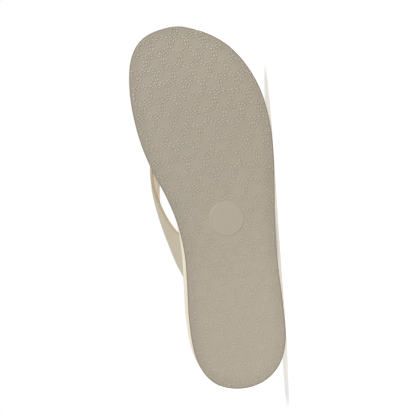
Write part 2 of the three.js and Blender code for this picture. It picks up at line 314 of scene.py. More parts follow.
class Graph:
    """A node tree that grows by one call for each node."""

    def __init__(self, tree):
        self.tree = tree

    def maths(self, operation, *values):
        return self.node("ShaderNodeMath", {"operation": operation}, dict(enumerate(values)))

    def node(self, kind, settings, sockets, output=0):
        """A node of a type, with its settings, and with a value or a link for each socket that is named."""
        node = self.tree.nodes.new(kind)
        for name, value in settings.items():
            setattr(node, name, value)
        for key, value in sockets.items():
            if isinstance(value, Signal):
                self.tree.links.new(value.socket, node.inputs[key])
            else:
                node.inputs[key].default_value = value
        return Signal(self, node.outputs[output]) if node.outputs else None


class Finish(Graph):
    """A material, grown from its shader. What is the same all over is set on the shader itself."""

    def __init__(self, name, constants):
        self.material = bpy.data.materials.new(name)
        self.material.use_nodes = True
        super().__init__(self.material.node_tree)
        self.shader = self.tree.nodes["Principled BSDF"]
        for socket, value in constants.items():
            self.shader.inputs[socket].default_value = value
        self.place = self.node("ShaderNodeTexCoord", {}, {}, "Object")

    def feed(self, socket, signal):
        self.tree.links.new(signal.socket, self.shader.inputs[socket])

    def noise(self, size_mm, detail=2.0, roughness=0.5):
        """Cloudy noise about 0.5, with lumps of about that size."""
        scale = 1 / (size_mm * MM)
        sockets = {"Vector": self.place, "Scale": scale, "Detail": detail, "Roughness": roughness}
        return self.node("ShaderNodeTexNoise", {}, sockets)

    def cells(self, size_mm):
        """Distance from the nearest of points that are scattered about that size apart."""
        sockets = {"Vector": self.place, "Scale": 1 / (size_mm * MM)}
        return self.node("ShaderNodeTexVoronoi", {"feature": "F1"}, sockets)

    def marked(self, name):
        """The number that mark gave each corner."""
        return self.node("ShaderNodeAttribute", {"attribute_name": name}, {}, "Fac")

    def step(self, signal, low, high):
        """0 below low, 1 above high, and smooth between."""
        sockets = {"Value": signal, "From Min": low, "From Max": high}
        return self.node("ShaderNodeMapRange", {"interpolation_type": "SMOOTHSTEP"}, sockets)

    def mix(self, share, first, second):
        """A colour between two others. Several of the node's sockets share a name, so they go by number."""
        ends = [given if isinstance(given, Signal) else (*given, 1) for given in (first, second)]
        return self.node("ShaderNodeMix", {"data_type": "RGBA"}, {0: share, 6: ends[0], 7: ends[1]}, 2)

    def bump(self, height, depth_mm, below=None):
        """A normal that follows a height from 0 to 1, on top of another such normal if one is given."""
        sockets = {"Height": height, "Distance": depth_mm * MM}
        if below is not None:
            sockets["Normal"] = below
        return self.node("ShaderNodeBump", {}, sockets)


# The face lies a relief's height inside the tread, so that the relief stands on it up to the tread. The
# darker colour of the edge comes in across a narrow border of the face.
FACE_ROUNDING = 0.4
BACK_ROUNDING = 0.2
tread = Surface(flush, lambda places, inside: tread_z(places[:, 0]))
tread_face = above(tread, RELIEF)
outsole_top = above(tread, OUTSOLE_THICKNESS)
outsole_rims = [
    Rim(tread_face, inset=1.5, lift=0, edge=0),
    Rim(tread_face, inset=0.8, lift=0, edge=0.4),
    *rounded(tread_face, FACE_ROUNDING, 1),
    *rounded(outsole_top, BACK_ROUNDING, -1)[::-1],
]

# Painted light: the heel is painted paler round a spot on its outer side, as a pool of light, and painted
# shade makes the face a little darker along its border. Painted highlights make the tops of the relief paler
# in flecks, most at the toe.
RUBBER_DARK = (0.361, 0.319, 0.255)
RUBBER_PALE = (0.389, 0.345, 0.277)
RUBBER_HEEL_LIGHT = (0.412, 0.363, 0.29)
RUBBER_TOP_HIGHLIGHT = (0.57, 0.52, 0.425)
RUBBER_EDGE_DARK = (0.25, 0.217, 0.168)
BLACK = (0, 0, 0)
HEEL_LIGHT_SPOT = (55, 34, 0)
HEEL_LIGHT_REACH = 105
HEEL_LIGHT_CORE = 10
BORDER_WIDTH = 10
BORDER_CORE = 1.5
BORDER_SHADE = 0.09
TOP_HIGHLIGHT_START = -40
TOP_HIGHLIGHT_FULL = 100
rubber = Finish("tread_rubber", {"Specular IOR Level": 0.35})
# A painted pool of light: the heel is paler round a spot on its outer side.
both_places = {0: rubber.place, 1: SHOE @ Vector(HEEL_LIGHT_SPOT)}
from_heel_light = rubber.node("ShaderNodeVectorMath", {"operation": "DISTANCE"}, both_places, "Value")
heel_light = rubber.step(from_heel_light, HEEL_LIGHT_REACH * MM, HEEL_LIGHT_CORE * MM)
moulded = rubber.mix(rubber.noise(26, detail=3), RUBBER_DARK, RUBBER_PALE)
heel_lit = rubber.mix(heel_light, moulded, RUBBER_HEEL_LIGHT)
# Painted shade: the face is a little darker along its border.
border = rubber.step(rubber.marked("inside"), BORDER_WIDTH, BORDER_CORE)
border_shaded = rubber.mix(BORDER_SHADE * border, heel_lit, BLACK)
along_frame = rubber.node("ShaderNodeSeparateXYZ", {}, {"Vector": rubber.place})
# Painted highlights: the tops of the studs are paler in flecks, most towards the toe.
forward = rubber.step(along_frame, TOP_HIGHLIGHT_START * MM, TOP_HIGHLIGHT_FULL * MM)
flecks = rubber.step(rubber.noise(1.3, detail=1), low=0.38, high=0.62)
top_highlight_share = flecks.between(0.6, 1) * forward.between(0.42, 0.82)
tops = rubber.step(rubber.marked("raised"), low=0.3, high=0.9)
top_highlighted = rubber.mix(tops * top_highlight_share, border_shaded, RUBBER_TOP_HIGHLIGHT)
# Darker round the sheet's edge and its rounding.
rubber.feed("Base Color", rubber.mix(rubber.step(rubber.marked("edge"), 0, 1), top_highlighted, RUBBER_EDGE_DARK))
rubber.feed("Roughness", rubber.noise(3).between(0.55, 0.71))
rubber.feed("Normal", rubber.bump(rubber.noise(0.7, detail=3, roughness=0.6), depth_mm=0.05))

outsole = sole_layer("outsole_sheet", outsole_rims)
outsole.data.materials.append(rubber.material)
outsole.data.transform(SHOE)
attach(outsole, "root")
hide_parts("outsole")


# Tread relief
# Low studs and dots, moulded with the outsole's face: rows of short studs in groups along the sides of a
# honeycomb, a dot where three sides meet, and smooth islands between. They stop at the outline and at the
# medallion.
Medallion = namedtuple("Medallion", "x y radius")
MEDALLION = Medallion(119.4, 4.1, 12.2)
RELIEF_MARGIN = 0.9
RELIEF_SINK = 0.1
STUD_LENGTH = 1.9
STUD_WIDTH = 1.05
STUD_PITCH = 2.6
STUDS_IN_A_ROW = 2
ROW_LENGTH = STUD_PITCH * (STUDS_IN_A_ROW - 1) + STUD_LENGTH
DOT_WIDTH = 1.1
FENCE_REACH = 1
BORDER_STEP = 4

# Rings of a stud, from its sunk foot to its top: how far each lies inside the foot, and its height.
StudRing = namedtuple("StudRing", "inset height")
STUD_RINGS = [StudRing(0, -RELIEF_SINK), StudRing(0.08, 0.75 * RELIEF), StudRing(0.18, RELIEF)]


def column(count, rings, first=0):
    """Faces of a closed column of rings, which run clockwise seen from where their row is heading."""
    last = first + count * (rings - 1)
    ends = [tuple(range(first, first + count)), tuple(range(last + count - 1, last - 1, -1))]
    return walls(count, rings, first) + ends


def stacked(name, rings, smooth_degrees=SHARP_DEGREES):
    """A closed piece from rings of equally many corners."""
    rings = np.asarray(rings)
    return new_piece(name, rings.reshape(-1, 3), column(rings.shape[1], len(rings)), smooth_degrees)


def studs(name, middles, length, width, corners):
    """Low studs of rubber at places along x, with drafted sides, and with their feet sunk into the face."""
    turn = math.tau * (np.arange(corners) + 0.5) / corners
    ends = np.sign(np.cos(turn)) * (length - width) / 2
    points = []
    faces = []
    for middle in middles:
        faces += column(corners, len(STUD_RINGS), len(points))
        for inset, height in STUD_RINGS:
            radius = (width / 2 - inset) / math.cos(math.pi / corners)
            xs = middle + ends + radius * np.cos(turn)
            points += np.column_stack([xs, radius * np.sin(turn), np.full(corners, -height)]).tolist()
    piece = new_piece(name, points, faces)
    raised = np.repeat([ring.height / RELIEF for ring in STUD_RINGS], corners)
    mark(piece, "raised", np.tile(raised, len(middles)))
    return piece


def fence():
    """Low walls round the ground that the relief may cover, facing away from it."""
    round_edge = outline(ROUND_THE_SHOE, flush(ROUND_THE_SHOE) - RELIEF_MARGIN)
    circle = np.column_stack([np.cos(ROUND_THE_SHOE), np.sin(ROUND_THE_SHOE)])
    round_medallion = circle * (MEDALLION.radius + RELIEF_MARGIN) + (MEDALLION.x, MEDALLION.y)
    points = []
    faces = []
    for ring in (round_edge, round_medallion):
        faces += walls(len(ring), 2, len(points))
        points += [(x, y, z) for z in (-FENCE_REACH, FENCE_REACH) for x, y in ring]
    return new_piece("fence", points, faces)


def geometry_tree(name, inputs):
    """A tree for a Geometry Nodes modifier, and the signals of its inputs by name."""
    tree = bpy.data.node_groups.new(name, "GeometryNodeTree")
    tree.interface.new_socket("Geometry", in_out="INPUT", socket_type="NodeSocketGeometry")
    for label, kind in inputs.items():
        tree.interface.new_socket(label, in_out="INPUT", socket_type="NodeSocket" + kind)
    tree.interface.new_socket("Geometry", in_out="OUTPUT", socket_type="NodeSocketGeometry")
    graph = Graph(tree)
    given = tree.nodes.new("NodeGroupInput")
    return graph, {socket.name: Signal(graph, socket) for socket in given.outputs if socket.name}


def close_tree(graph, instances, material, bend=None):
    """Ends a tree: its instances become real, bent if an offset is given, shaded smooth and covered."""
    shape = graph.node("GeometryNodeRealizeInstances", {}, {"Geometry": instances})
    if bend is not None:
        shape = graph.node("GeometryNodeSetPosition", {}, {"Geometry": shape, "Offset": bend})
    smooth = graph.node("GeometryNodeSetShadeSmooth", {}, {"Geometry": shape})
    covered = graph.node("GeometryNodeSetMaterial", {}, {"Geometry": smooth, "Material": material})
    graph.node("NodeGroupOutput", {}, {"Geometry": covered})


def grown(name, graph, base, values):
    """The plain piece that a tree makes of a base object, which is used up with the stamps that it takes."""
    modifier = base.modifiers.new("grown", "NODES")
    modifier.node_group = graph.tree
    for item in graph.tree.interface.items_tree:
        if item.name in values:
            modifier[item.identifier] = values[item.name]
    evaluated = base.evaluated_get(bpy.context.evaluated_depsgraph_get())
    mesh = bpy.data.meshes.new_from_object(evaluated)
    base.modifiers.remove(modifier)
    for used in [base] + [value for value in values.values() if isinstance(value, bpy.types.Object)]:
        bpy.data.objects.remove(used)
    mesh.name = name
    return placed(name, mesh)


def relief_tree():
    """Rows of studs and dots on a honeycomb over the whole outsole. Rays along a row find the fence."""
    inputs = {
        "Studs": "Object",
        "Dot": "Object",
        "Material": "Material",
        "Lines of islands": "Int",
        "Islands in a line": "Int",
        "Rows in a group": "Int",
        "Pitch": "Float",
        "Row pitch": "Float",
        "Row length": "Float",
        "Outer rows shorter": "Float",
        "Shortest row": "Float",
        "Row length varies": "Float",
        "Outer rows left out": "Float",
        "Height at the heel": "Float",
        "Dot clearance": "Float",
        "First island": "Vector",
        "Seed": "Int",
    }
    graph, given = geometry_tree("tread_relief", inputs)
    node = graph.node
    first = node("ShaderNodeSeparateXYZ", {}, {"Vector": given["First island"]})
    index = node("GeometryNodeInputIndex", {}, {})
    islands = given["Lines of islands"] * given["Islands in a line"]
    rows = given["Rows in a group"]
    sixth = math.pi / 3

    def vector(x, y, z):
        return node("ShaderNodeCombineXYZ", {}, {"X": x, "Y": y, "Z": z})

    def chance(low, high, seed):
        """A random number. Several of the node's sockets share a name, so they go by number."""
        sockets = {2: low, 3: high, "ID": index, "Seed": seed}
        return node("FunctionNodeRandomValue", {"data_type": "FLOAT"}, sockets, 1)

    def beside_island(island, distance, turn):
        """A place at a distance from the middle of an island, in that direction."""
        line = (island / given["Islands in a line"]).maths("FLOOR")
        shifted = island % given["Islands in a line"] + 0.5 * (line % 2)
        x = first.out("X") + line * math.cos(sixth / 2) * given["Pitch"] + distance * turn.maths("COSINE")
        y = first.out("Y") + shifted * given["Pitch"] + distance * turn.maths("SINE")
        return x, y

    def ray(place, direction):
        """How far the fence is in a direction, and whether the place lies on the relief's side of it."""
        sockets = {
            "Target Geometry": given["Geometry"],
            "Source Position": place,
            "Ray Direction": direction,
            "Ray Length": LENGTH,
        }
        hit = node("GeometryNodeRaycast", {}, sockets)
        dotted = {0: hit.out("Hit Normal"), 1: direction}
        leaving = node("ShaderNodeVectorMath", {"operation": "DOT_PRODUCT"}, dotted, "Value")
        return hit.out("Hit Distance"), leaving > 0

    def stamped(points, keep, stamp_object, turn, stretch):
        """Copies of a stamp at the points that are kept, turned, stretched, and lower towards the heel."""
        shape = node("GeometryNodeObjectInfo", {}, {"Object": stamp_object}, "Geometry")
        turned = node("FunctionNodeEulerToRotation", {}, {"Euler": vector(0, 0, turn)})
        along = node("ShaderNodeSeparateXYZ", {}, {"Vector": node("GeometryNodeInputPosition", {}, {})})
        tall = given["Height at the heel"] + (1 - given["Height at the heel"]) * along / LENGTH
        sockets = {"Points": points, "Selection": keep, "Instance": shape, "Rotation": turned}
        return node("GeometryNodeInstanceOnPoints", {}, {**sockets, "Scale": vector(stretch, 1, tall)})

    # Each island has a group of rows along three of its sides. Its neighbours' rows lie along the others.
    group = (index / rows).maths("FLOOR")
    beside = index % rows - (rows - 1) / 2
    side = sixth / 2 + sixth * (group % 3)
    distance = given["Pitch"] / 2 + beside * given["Row pitch"]
    x, y = beside_island((group / 3).maths("FLOOR"), distance, side)
    turn = side + math.pi / 2
    cosine = turn.maths("COSINE")
    sine = turn.maths("SINE")
    outer = beside.maths("ABSOLUTE") > (rows - 2) / 2
    missing = outer * (given["Outer rows left out"] > chance(0, 1, given["Seed"]))
    varied = chance(1 - given["Row length varies"], 1 + given["Row length varies"], given["Seed"] + 1)
    half = (given["Row length"] / 2 - outer * given["Outer rows shorter"]) * varied
    centre = vector(x, y, RELIEF)
    before, inside = ray(centre, vector(cosine, sine, 0))
    behind, _ = ray(centre, vector(-cosine, -sine, 0))
    before = half.maths("MINIMUM", before)
    behind = half.maths("MINIMUM", behind)
    shift = (before - behind) / 2
    moved = vector(x + cosine * shift, y + sine * shift, RELIEF)
    long_enough = before + behind > given["Shortest row"]
    row_points = node("GeometryNodePoints", {}, {"Count": islands * 3 * rows, "Position": moved})
    stretch = (before + behind) / given["Row length"]
    all_rows = stamped(row_points, inside * long_enough * (1 - missing), given["Studs"], turn, stretch)

    # Each island has a dot at two of its corners.
    reach = given["Pitch"] / (2 * math.cos(sixth / 2))
    x, y = beside_island((index / 2).maths("FLOOR"), reach, sixth * (index % 2))
    place = vector(x, y, RELIEF)
    _, inside = ray(place, (1, 0, 0))
    sockets = {"Geometry": given["Geometry"], "Sample Position": place}
    near = node("GeometryNodeProximity", {}, sockets, "Distance")
    dot_points = node("GeometryNodePoints", {}, {"Count": islands * 2, "Position": place})
    all_dots = stamped(dot_points, inside * (near > given["Dot clearance"]), given["Dot"], 0, 1)

    # Rows and dots are made flat, and then follow the toe spring.
    joined = node("GeometryNodeJoinGeometry", {}, {"Geometry": all_rows})
    graph.tree.links.new(all_dots.socket, joined.socket.node.inputs["Geometry"])
    where = node("ShaderNodeSeparateXYZ", {}, {"Vector": node("GeometryNodeInputPosition", {}, {})})
    past = (where.out("X") - TOE_SPRING_START).maths("MAXIMUM", 0) / (LENGTH - TOE_SPRING_START)
    close_tree(graph, joined, given["Material"], vector(0, 0, past * past * TOE_SPRING))
    return graph


stud_middles = STUD_PITCH * (np.arange(STUDS_IN_A_ROW) - (STUDS_IN_A_ROW - 1) / 2)
relief_values = {
    "Studs": studs("stud_row", stud_middles, STUD_LENGTH, STUD_WIDTH, corners=4),
    "Dot": studs("dot", [0], DOT_WIDTH, DOT_WIDTH, corners=8),
    "Material": rubber.material,
    "Lines of islands": 25,
    "Islands in a line": 9,
    "Rows in a group": 4,
    "Pitch": 12.4,
    "Row pitch": 1.75,
    "Row length": ROW_LENGTH,
    "Outer rows shorter": 0.8,
    "Shortest row": 2.5,
    "Row length varies": 0.2,
    "Outer rows left out": 0.4,
    "Height at the heel": 0.4,
    "Dot clearance": DOT_WIDTH / 2,
    "First island": (-1.0, -54.0, 0.0),
    "Seed": 7,
}
relief = grown("tread_relief", relief_tree(), fence(), relief_values)
relief_corners = np.empty(3 * len(relief.data.vertices))
relief.data.vertices.foreach_get("co", relief_corners)
coarse_edge = outline(ROUND_THE_SHOE, 0)[::BORDER_STEP]
mark(relief, "inside", distance_inside(coarse_edge, relief_corners.reshape(-1, 3)[:, :2]))
relief.data.transform(SHOE)
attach(relief, "root")


# Medallion
# A round boss moulded at the waist of the tread: a bare disc with a soft edge and a fine groove inside it.
# It takes less of the studs' painted highlight, so it is marked as less raised than it is.
MEDALLION_CORNERS = 96
MEDALLION_RAISED = 0.47

# Radius and height of its profile, both from the middle of the face.
Turning = namedtuple("Turning", "radius height")
MEDALLION_PROFILE = [
    Turning(12.3, -RELIEF_SINK),
    Turning(12.25, 0.02),
    Turning(12, 0.17),
    Turning(11.7, 0.3),
    Turning(11.4, 0.38),
    Turning(11, 0.4),
    Turning(10.6, 0.38),
    Turning(10.35, 0.31),
    Turning(10.1, 0.28),
    Turning(9.85, 0.31),
    Turning(9.6, 0.35),
    Turning(6, 0.37),
    Turning(3, 0.38),
    Turning(0.3, 0.38),
]
round_corners = math.tau * np.arange(MEDALLION_CORNERS) / MEDALLION_CORNERS
medallion_rings = []
for radius, height in MEDALLION_PROFILE:
    xs = MEDALLION.x + radius * np.cos(round_corners)
    ys = MEDALLION.y + radius * np.sin(round_corners)
    medallion_rings.append(np.column_stack([xs, ys, np.full(MEDALLION_CORNERS, RELIEF - height)]))
medallion = stacked("tread_medallion", medallion_rings, smooth_degrees=180)
mark(medallion, "edge", 0)
mark(medallion, "inside", MEDALLION.radius)
mark(medallion, "raised", MEDALLION_RAISED)
medallion.data.materials.append(rubber.material)
medallion.data.transform(SHOE)
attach(medallion, "root")


# Wedge
# The midsole is one wedge of cream foam rubber, thick under the heel and thin under the ball, ground to
# the outline and cemented to the outsole. Its cupped top has recesses for the straps' tails and a hole for
# the toe post.
GAP = 0.3
CUP_WIDTH = 28
LATERAL_DRAW_IN = 0.4
TIP_BLEND = 0.3
LEAST_WIDTH = 0.001
SLIVER_WIDTH = 0.01
WEDGE_BORDER = 1.2
WEDGE_ROUNDING = 0.3

Section = namedtuple("Section", "x thickness medial_rise lateral_rise medial_flare")
SECTIONS = [
    Section(0, 21, 1.6, 1.6, 0.2),
    Section(30, 21, 2.4, 2.2, 0.8),
    Section(65, 20.4, 3, 2.2, 1.3),
    Section(100, 17.6, 3.6, 2, 1.2),
    Section(130, 14.6, 2.6, 1.6, -0.8),
    Section(165, 12.4, 1.3, 1.2, -0.8),
    Section(210, 12, 1, 1, -0.6),
    Section(LENGTH, 12, 1, 1, -0.4),
]
along_sole, *section_columns = zip(*SECTIONS)
wedge_thickness, medial_rise, lateral_rise, medial_flare = (
    curve_through(along_sole, values) for values in section_columns
)


def wall_offset(angle):
    """How far the wall leans out at the wedge's top. The two sides blend into each other at the tips."""
    share = np.clip((TIP_BLEND - np.sin(angle)) / (2 * TIP_BLEND), 0, 1)
    x = LENGTH / 2 * (1 - np.cos(angle))
    return hermite(share, -LATERAL_DRAW_IN, medial_flare(x), 0, 0)


def wedge_top_z(x, across, inside):
    """The wedge's top, at a share across from -1, medial, to 1, lateral, and so far inside its edge."""
    rise = (medial_rise(x) * (1 - across) + lateral_rise(x) * (1 + across)) / 2
    cup = rise * (1 - np.minimum(inside / CUP_WIDTH, 1)) ** 2
    return tread_z(x) + OUTSOLE_THICKNESS + GAP + wedge_thickness(x) + cup


def wedge_top_at(places, inside):
    """The wedge's top at places of the shoe, which lie so far inside its edge."""
    angle = angle_at(places[:, 0])
    medial = edge_at(math.tau - angle)
    lateral = edge_at(angle)
    across = 2 * (places[:, 1] - medial) / np.maximum(lateral - medial, LEAST_WIDTH) - 1
    return wedge_top_z(places[:, 0], np.clip(across, -1, 1), inside)


def melt_slivers(mesh):
    """Melts slivers, splits faces of more than four corners, and drops triangles folded on each other."""
    melted = bmesh.new()
    melted.from_mesh(mesh)
    bmesh.ops.remove_doubles(melted, verts=melted.verts, dist=SLIVER_WIDTH)
    bmesh.ops.dissolve_degenerate(melted, edges=melted.edges, dist=SLIVER_WIDTH)
    bmesh.ops.triangulate(melted, faces=[face for face in melted.faces if len(face.verts) > 4])
    for edge in [edge for edge in melted.edges if len(edge.link_faces) > 2]:
        triangles = [face for face in edge.link_faces if len(face.verts) == 3]
        tips = [(set(face.verts) - set(edge.verts)).pop() for face in triangles]
        folded = [face for face, tip in zip(triangles, tips) if tips.count(tip) == 2]
        bmesh.ops.delete(melted, geom=folded, context="FACES")
    melted.to_mesh(mesh)
    melted.free()


def carve(piece, cutters):
    """Cuts solids out of a piece, and melts the slivers that this leaves."""
    for cutter in cutters:
        cut = piece.modifiers.new("cut", "BOOLEAN")
        cut.operation = "DIFFERENCE"
        cut.solver = "EXACT"
        cut.object = cutter
    evaluated = piece.evaluated_get(bpy.context.evaluated_depsgraph_get())
    mesh = bpy.data.meshes.new_from_object(evaluated)
    melt_slivers(mesh)
    mesh.set_sharp_from_angle(angle=math.radians(SHARP_DEGREES))
    piece.modifiers.clear()
    piece.data = mesh


wedge_foot = above(tread, OUTSOLE_THICKNESS + GAP)
wedge_top = Surface(wall_offset, wedge_top_at)
wedge_rims = [
    Rim(wedge_foot, WEDGE_BORDER, lift=0, edge=0),
    *rounded(wedge_foot, WEDGE_ROUNDING, 1),
    *rounded(wedge_top, WEDGE_ROUNDING, -1)[::-1],
]

FOAM_DARK = (0.75, 0.68, 0.548)
FOAM_PALE = (0.835, 0.76, 0.617)
foam = Finish("wedge_foam", {"Specular IOR Level": 0.3})
foam_clouds = 0.6 * foam.noise(18, detail=3) + 0.4 * foam.noise(0.8)
foam.feed("Base Color", foam.mix(foam_clouds, FOAM_DARK, FOAM_PALE))
foam.feed("Roughness", foam.noise(2).between(0.62, 0.74))
foam_swell = foam.bump(foam.noise(1.6), depth_mm=0.05)
foam_pores = foam.noise(0.35, detail=3, roughness=0.7)
foam.feed("Normal", foam.bump(foam_pores, depth_mm=0.06, below=foam_swell))

wedge = sole_layer("wedge", wedge_rims)
wedge.data.materials.append(foam.material)


# Straps
# The upper is a V of smooth cream leather with a thin lining, cut in one piece, its cut edges painted tan.
# Each tail turns in over the wedge's edge and is cemented flat in its top, under the footbed.
STRAP_THICKNESS = 2
STRAP_EDGE = 0.5
STRAP_STEPS = 16
STRAP_DIVISIONS = 14
DOME_STEPS = 8
TAIL_LENGTH = 11
TAIL_BEND = 2
TAIL_PROUD = 0.2
TAIL_STEPS = 9
BEND_STEPS = 8
SEAT_STEPS = 10
SEAT_DIVISIONS = 4
RECESS_HEADROOM = 0.8
BORDER_DARK_START = 155
BORDER_DARK_END = 125
BORDER_DARK_LEAST = 0.45

# Halfway through its leather: places on the front edge and on the rear edge, and the crown between them.
Row = namedtuple("Row", "front rear crown")
STRAP = [
    Row((119.5, -33.5, 31), (92, -33.7, 38.5), 0.6),
    Row((128.5, -37.3, 37), (104, -36.4, 48.5), 1.1),
    Row((140, -40.4, 41.8), (120, -39.1, 57.8), 1.4),
    Row((154, -42.1, 44.3), (140, -39.2, 63.5), 1.8),
    Row((170, -40.3, 44.8), (158, -35.5, 63), 1.7),
    Row((186, -32.5, 43.4), (174, -28, 56.8), 1.2),
    Row((199, -23, 41.2), (187, -20, 49.6), 0.8),
    Row((207.5, -12.5, 39), (195, -12.5, 44), 0.5),
    Row((203, -1.5, 41), (190, -5, 49.2), 0.8),
    Row((190.5, 11.5, 44), (176, 6.5, 56.8), 1.2),
    Row((174, 24.5, 46), (159, 20, 63), 1.6),
    Row((156.5, 34.5, 45.5), (141, 31, 65), 1.8),
    Row((139, 40, 42), (122, 38, 60.5), 1.8),
    Row((125, 40.2, 36.5), (105, 39.8, 50.5), 1),
    Row((114.5, 38.4, 31), (90, 37.2, 39.5), 0.4),
]

# Where each leg's front and rear edge cross the wall of the sole.
Root = namedtuple("Root", "side front_x rear_x")
STRAP_ROOTS = [Root(-1, 112.8, 82.2), Root(1, 107.5, 79)]

# A corner of a strap's section lies at a share of the way from the front edge to the rear edge, moved by an
# inset, at a height over the leather's middle. Its cut mark is 0 on both faces and 1 at the outer face's
# borders, and grows from 1 to 3 across the edge towards the lining.
Ribs = namedtuple("Ribs", "front rear crown")
Corner = namedtuple("Corner", "share inset height cut lining")


def curve_along(stops):
    """A smooth way through places, numbered from 0, that doesn't swing wide where two of them lie close."""
    stops = np.array(stops)
    steps = np.diff(np.vstack([2 * stops[0] - stops[1], stops, 2 * stops[-1] - stops[-2]]), axis=0)
    spans = np.linalg.norm(steps, axis=1)[:, None] ** 0.5

    def at(keys):
        i = np.minimum(keys.astype(int), len(stops) - 2)
        before, here, after = (steps[i + k] for k in range(3))
        a, b, c = (spans[i + k] for k in range(3))
        leaving = before / a - (before + here) / (a + b) + here / b
        arriving = here / b - (here + after) / (b + c) + after / c
        return hermite((keys - i)[:, None], stops[i], stops[i + 1], leaving * b, arriving * b)

    return at


def tail(root):
    """A tail's ribs, from its end under the footbed out to the wall: places in front and behind."""
    run = np.linspace(TAIL_LENGTH, TAIL_BEND, TAIL_STEPS, endpoint=False)
    turn = np.linspace(0, math.pi / 2, BEND_STEPS + 1)
    inboard = np.concatenate([run, TAIL_BEND * (1 - np.sin(turn))])
    up = np.concatenate([0 * run, TAIL_BEND * (1 - np.cos(turn))])
    edges = []
    for x in (root.front_x, root.rear_x):
        angle = angle_at(x) if root.side > 0 else math.tau - angle_at(x)
        wall_x, wall_y = outline(angle, wall_offset(angle) + TAIL_PROUD - STRAP_THICKNESS / 2)
        heights = wedge_top_z(wall_x, root.side, inboard) - STRAP_THICKNESS / 2 + up
        edges.append(np.column_stack([0 * inboard + wall_x, wall_y - root.side * inboard, heights]))
    return edges


def strap_ribs():
    """Every rib of the V, from one tail's end to the other's."""
    medial, lateral = (tail(root) for root in STRAP_ROOTS)
    spans = len(STRAP) + 1
    keys = np.arange(1, spans * STRAP_STEPS) / STRAP_STEPS
    edges = []
    for edge in (0, 1):
        way = curve_along([medial[edge][-1], *(row[edge] for row in STRAP), lateral[edge][-1]])
        edges.append(np.vstack([medial[edge], way(keys), lateral[edge][::-1]]))
    crown = curve_through(range(spans + 1), [0, *(row.crown for row in STRAP), 0])
    flat = np.zeros(len(medial[0]))
    return Ribs(*edges, np.concatenate([flat, crown(keys), flat]))


def strap_place(ribs, shares):
    """Places halfway through the leather, at shares of the way from the front edge to the rear edge."""
    across = (ribs.rear - ribs.front)[:, None]
    flat = ribs.front[:, None] + shares[..., None] * across
    outward = unit(np.cross(np.gradient(flat, axis=0), across))
    return flat + outward * (4 * ribs.crown[:, None] * shares * (1 - shares))[..., None]


def band(name, ribs, corners):
    """A strip of leather along ribs, with a section of corners in order round it."""
    shares, insets, heights = (np.array([corner[k] for corner in corners]) for k in range(3))
    width = np.linalg.norm(ribs.rear - ribs.front, axis=1)[:, None]
    shares = shares + insets / width
    nudge = 0.05
    places = strap_place(ribs, shares)
    across = strap_place(ribs, shares + nudge) - strap_place(ribs, shares - nudge)
    normals = unit(np.cross(np.gradient(places, axis=0), across))
    return stacked(name, places + normals * heights[:, None])


def strap_section():
    """Outer face, rear edge, inner face and front edge. The edges are domed."""
    half = STRAP_THICKNESS / 2
    shares = np.linspace(0, 1, STRAP_DIVISIONS + 1)
    dome = np.linspace(-math.pi / 2, math.pi / 2, DOME_STEPS + 1)[1:-1]
    outer = [Corner(share, STRAP_EDGE * (1 - 2 * share), half, int(share in (0, 1)), 0) for share in shares]
    inner = [Corner(share, STRAP_EDGE * (1 - 2 * share), -half, 0, 1) for share in shares[::-1]]
    front = []
    for turn in dome:
        height = half * math.sin(turn)
        front.append(Corner(0, STRAP_EDGE * (1 - math.cos(turn)), height, 2 - height / half, 0))
    rear = [Corner(1, -corner.inset, corner.height, corner.cut, 0) for corner in front[::-1]]
    return outer + rear + inner + front


def strap_seat(name, ribs):
    """A tail and the start of its leg, thicker and wider by the gap, to cut a seat for it."""
    half = STRAP_THICKNESS / 2 + GAP
    shares = np.linspace(0, 1, SEAT_DIVISIONS + 1)
    outer = [Corner(share, GAP * (2 * share - 1), half, 0, 0) for share in shares]
    inner = [Corner(corner.share, corner.inset, -half, 0, 0) for corner in outer[::-1]]
    longer = [2 * edge[0] - edge[1] for edge in (ribs.front, ribs.rear)]
    ends = [np.vstack([place, edge]) for place, edge in zip(longer, (ribs.front, ribs.rear))]
    return band(name, Ribs(*ends, np.concatenate([[0], ribs.crown])), outer + inner)


# The wedge is cut a second time with the seats a little higher, so that no sliver of foam stays over a tail.
ribs = strap_ribs()
seat_ribs = TAIL_STEPS + BEND_STEPS + 1 + SEAT_STEPS
seats = [
    strap_seat("medial_seat", Ribs(*(part[:seat_ribs] for part in ribs))),
    strap_seat("lateral_seat", Ribs(*(part[::-1][:seat_ribs] for part in ribs))),
]
carve(wedge, seats)
for seat in seats:
    seat.data.transform(Matrix.Translation((0, 0, RECESS_HEADROOM)))
carve(wedge, seats)
for seat in seats:
    seat.data.transform(Matrix.Translation((0, 0, -RECESS_HEADROOM)))

# The outer face is darker along its borders, less so towards the tails.
section = strap_section()
straps = band("straps", ribs, section)
border_dark_share = np.clip((ribs.front[:, :1] - BORDER_DARK_END) / (BORDER_DARK_START - BORDER_DARK_END), BORDER_DARK_LEAST, 1)
cuts = np.array([float(corner.cut) for corner in section])
mark(straps, "cut", np.where(cuts > 1, cuts, cuts * border_dark_share).ravel())
mark(straps, "lining", np.tile([corner.lining for corner in section], len(ribs.crown)))
strap_underside = BVHTree.FromPolygons(
    [corner.co.copy() for corner in straps.data.vertices],
    [tuple(face.vertices) for face in straps.data.polygons],
)

STRAP_DARK = (0.405, 0.353, 0.258)
STRAP_PALE = (0.57, 0.507, 0.381)
STRAP_BORDER_DARK = (0.33, 0.27, 0.19)
EDGE_PAINT = (0.72, 0.565, 0.38)
LINING = (0.8, 0.715, 0.58)
leather = Finish("strap_leather", {"Specular IOR Level": 0.45})
mottling = 0.4 * leather.noise(22, detail=3) + 0.6 * leather.noise(1.4, detail=3)
outer_face = leather.mix(mottling, STRAP_DARK, STRAP_PALE)
